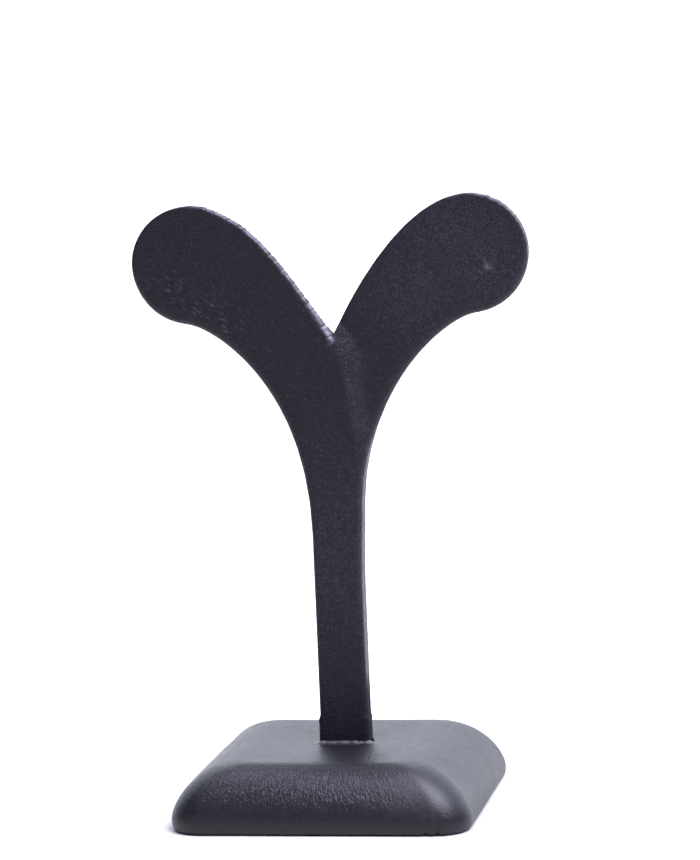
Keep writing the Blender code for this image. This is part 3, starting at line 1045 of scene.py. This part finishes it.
def make_base():
    section = base_section()
    levels = [(dome_ring(half, z, 0.0), z) for half, z in section]
    rim = levels[-1][0]
    opening = round_stem(stem_half - SLIT_TUCK, FACE + SLIT_GAP, stem_half + SLIT_TIP)
    for share in np.linspace(0, 1, TOP_ROWS + 1)[1:] ** TOP_CROWDING:
        levels.append((rim * (1 - share) + opening * share, cover_high.z))
    for drop in SLIT_ROWS:
        levels.append((opening, cover_high.z - drop * SLIT_DEPTH))

    points = stacked(levels)
    outside = np.maximum(-depth_inside(points[:, :2], opening), 0)
    top = np.repeat(np.arange(len(levels)) >= len(section) - PULLED_SIDE_ROWS, AROUND)
    ragged = 1 + LIP_RAGGED * waves(points[:, :2], 0.0, LIP_RAGGED_LENGTH, LIP_SEED)
    in_front = np.clip((-points[:, 1] - LIP_START) / LIP_FADE, 0, 1)
    lip = np.exp(-((outside / LIP_WIDTH) ** 2)) * in_front * ragged * top
    points[:, 2] += top * (LIP_RISE * lip - PULL_DOWN * np.exp(-outside / PULL_REACH))
    forward = smooth(-points[:, 1], *DROOP_FORWARD) * smooth(points[:, 2], *DROOP_ABOVE)
    points[:, 2] -= FRONT_DROOP * forward

    looks = [base_leather(), raw_edge]
    skin = mesh_object("base_skin", points, ring_faces(len(levels)), looks)
    flow_map(skin, points, len(levels))

    normals = np.array([vertex.normal for vertex in skin.data.vertices])
    lumps = np.array([noise.noise(Vector(point) / LUMP_LENGTH) for point in points]) * LUMPS
    away = np.clip(outside / LUMP_FADE, 0, 1)
    low_front = smooth(-points[:, 2], *PLEATS_BELOW) * (points[:, 1] < -PLEATS_FORWARD * HALF)
    pleats = [np.exp(-(((points[:, 0] - x) / PLEAT_WIDTH) ** 2)) for x in PLEATS]
    pleats = PLEAT_DEPTH * np.sum(pleats, axis=0) * low_front
    points = points + normals * (lumps * away - pleats)[:, None]
    skin.data.vertices.foreach_set("co", points.astype("f").ravel())

    float_attributes(skin.data, wear_of_base(points, lip))
    solidify(skin, LEATHER, 1)
    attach(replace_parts(skin, "base_cover"), "root")


make_base()


def make_foam():
    """The foam under the leather: a dome over the base board, open where the stem goes in."""
    foam_low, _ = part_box("base_foam")
    _, board_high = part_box("base_board")
    side = resample(dome_side(FOAM_UNDER, foam_low.z), 2 * ROW_SPACING)
    levels = [(dome_ring(half, z, FOAM_UNDER), z) for half, z in side]
    rim, top = levels[-1]
    x = stem_half + SLOT_GAP
    opening = round_stem(x, FACE + SLOT_GAP, x)
    over = board_high.z + POCKET_GAP
    pocket = []
    for angle in np.linspace(math.pi / 2, 0, POCKET_ROWS):
        inset = BOARD_ROUND * (1 - math.cos(angle))
        drop = BOARD_ROUND * (1 - math.sin(angle))
        ring = square(board_high.x + POCKET_GAP - inset, BOARD_CORNER - inset / 2)
        pocket.append((ring, over - drop))
    shares = np.linspace(0, 1, FOAM_ROWS + 1)
    levels += [(rim * (1 - share) + opening * share, top) for share in shares[1:]]
    levels += [(opening * (1 - share) + pocket[0][0] * share, over) for share in shares]
    levels += [*pocket[1:], (pocket[-1][0], foam_low.z), levels[0]]
    points = stacked(levels)
    to_slot = np.maximum(-depth_inside(points[:, :2], opening), 0)
    points[:, 2] -= PULL_DOWN * np.exp(-to_slot / PULL_REACH) * (points[:, 2] > over)
    cells = np.array([noise.noise(Vector(point) / CELL_LENGTH) for point in points])
    points[:, 2] += CELLS * cells * (points[:, 2] > over)
    points[-AROUND:] = points[:AROUND]
    pad = mesh_object("foam_pad", points, ring_faces(len(levels)), [foam()])
    join_same_points(pad)
    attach(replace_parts(pad, "base_foam"), "root")


def join_same_points(obj):
    """Close the seam between the first and the last ring."""
    work = bmesh.new()
    work.from_mesh(obj.data)
    bmesh.ops.remove_doubles(work, verts=work.verts, dist=SAME_PLACE)
    work.to_mesh(obj.data)
    work.free()


def make_felt():
    """The felt that is glued under the base, over the leather's hem."""
    felt_low, felt_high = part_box("bottom_felt")
    edge = square(felt_high.x, FELT_CORNER)
    shares = np.linspace(FELT_CENTRE, 1 - FELT_EDGE / felt_high.x, FELT_ROWS)
    levels = [(edge * share, felt_low.z) for share in shares]
    levels += [(edge, felt_low.z + FELT_EDGE), (edge, felt_high.z - FELT_EDGE)]
    levels += [(edge * share, felt_high.z) for share in shares[::-1]]
    last = (len(levels) - 1) * AROUND
    faces = ring_faces(len(levels))
    faces += [tuple(range(AROUND))[::-1], tuple(range(last, last + AROUND))]
    points = stacked(levels)
    within = np.abs(points[:, :2]).max(axis=1) < FELT_UNEVEN_WITHIN
    under = within & (points[:, 2] < felt_low.z + FELT_EDGE / 2)
    uneven = waves(points[under, :2], 0.0, FELT_UNEVEN_LENGTH, FELT_SEED)
    points[under, 2] += FELT_UNEVEN * np.abs(uneven)
    sheet = mesh_object("felt_sheet", points, faces, [felt()])
    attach(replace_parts(sheet, "bottom_felt"), "root")


make_foam()
make_felt()


# Finishes of the frame's own pieces


def finish_frame():
    looks = {
        "front_board": fibreboard("front_board_fibres", FRONT_FIBRE),
        "rear_board": fibreboard("rear_board_fibres", REAR_FIBRE),
        "base_board": fibreboard("base_board_fibres", BASE_FIBRE),
    }
    for node, look in looks.items():
        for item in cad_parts[node].material_slots:
            item.material = look


finish_frame()


# Floor, light and camera


def make_floor():
    """A floor that curves up behind the object into a pale backdrop."""
    angles = np.linspace(0, math.pi / 2, BEND_POINTS)
    bend = BACKDROP_BEND * np.column_stack([np.sin(angles), 1 - np.cos(angles)])
    top = (BACKDROP_NEAR + BACKDROP_BEND, BACKDROP_TOP)
    line = [(-FLOOR_HALF, 0), *(bend + (BACKDROP_NEAR, 0)), top]
    points = [(x, y, z) for y, z in line for x in (-FLOOR_HALF, FLOOR_HALF)]
    faces = [(k, k + 1, k + 3, k + 2) for k in range(0, len(points) - 2, 2)]
    mesh_object("floor", points, faces, [floor_paint()])


def softbox(name, place, width, height, power):
    data = bpy.data.lights.new(name, "AREA")
    data.shape, data.size, data.size_y = "RECTANGLE", width, height
    data.energy, data.color = power, SOFTBOX_TINT
    light = bpy.data.objects.new(name, data)
    light.location = place
    aim = Vector(SOFTBOX_AIM) - Vector(place)
    light.rotation_euler = aim.to_track_quat("-Z", "Y").to_euler()
    bpy.context.scene.collection.objects.link(light)


def make_light():
    world = bpy.data.worlds.new("studio")
    world.use_nodes = True
    shade = world.node_tree.nodes["Background"]
    shade.inputs["Color"].default_value = (*SOFTBOX_TINT, 1.0)
    shade.inputs["Strength"].default_value = ROOM_LIGHT
    bpy.context.scene.world = world
    for settings in SOFTBOXES:
        softbox(*settings)


def make_camera():
    yaw, level = CAMERA_YAW, math.cos(CAMERA_PITCH)
    ahead = Vector((math.sin(yaw) * level, math.cos(yaw) * level, -math.sin(CAMERA_PITCH)))
    right = Vector((math.cos(yaw), -math.sin(yaw), 0))
    right = Matrix.Rotation(CAMERA_ROLL, 3, ahead) @ right
    up = right.cross(ahead)
    data = bpy.data.cameras.new("camera")
    data.sensor_width = SENSOR
    data.lens = FOCAL_PIXELS * SENSOR / LONG_SIDE_PIXELS
    data.clip_end = CAMERA_SEES
    camera = bpy.data.objects.new("camera", data)
    turn = Matrix((right, up, -ahead)).transposed().to_4x4()
    camera.matrix_world = Matrix.Translation(CAMERA_PLACE) @ turn
    bpy.context.scene.collection.objects.link(camera)
    bpy.context.scene.camera = camera


make_floor()
make_light()
make_camera()
bpy.context.scene.view_settings.view_transform = "Standard"
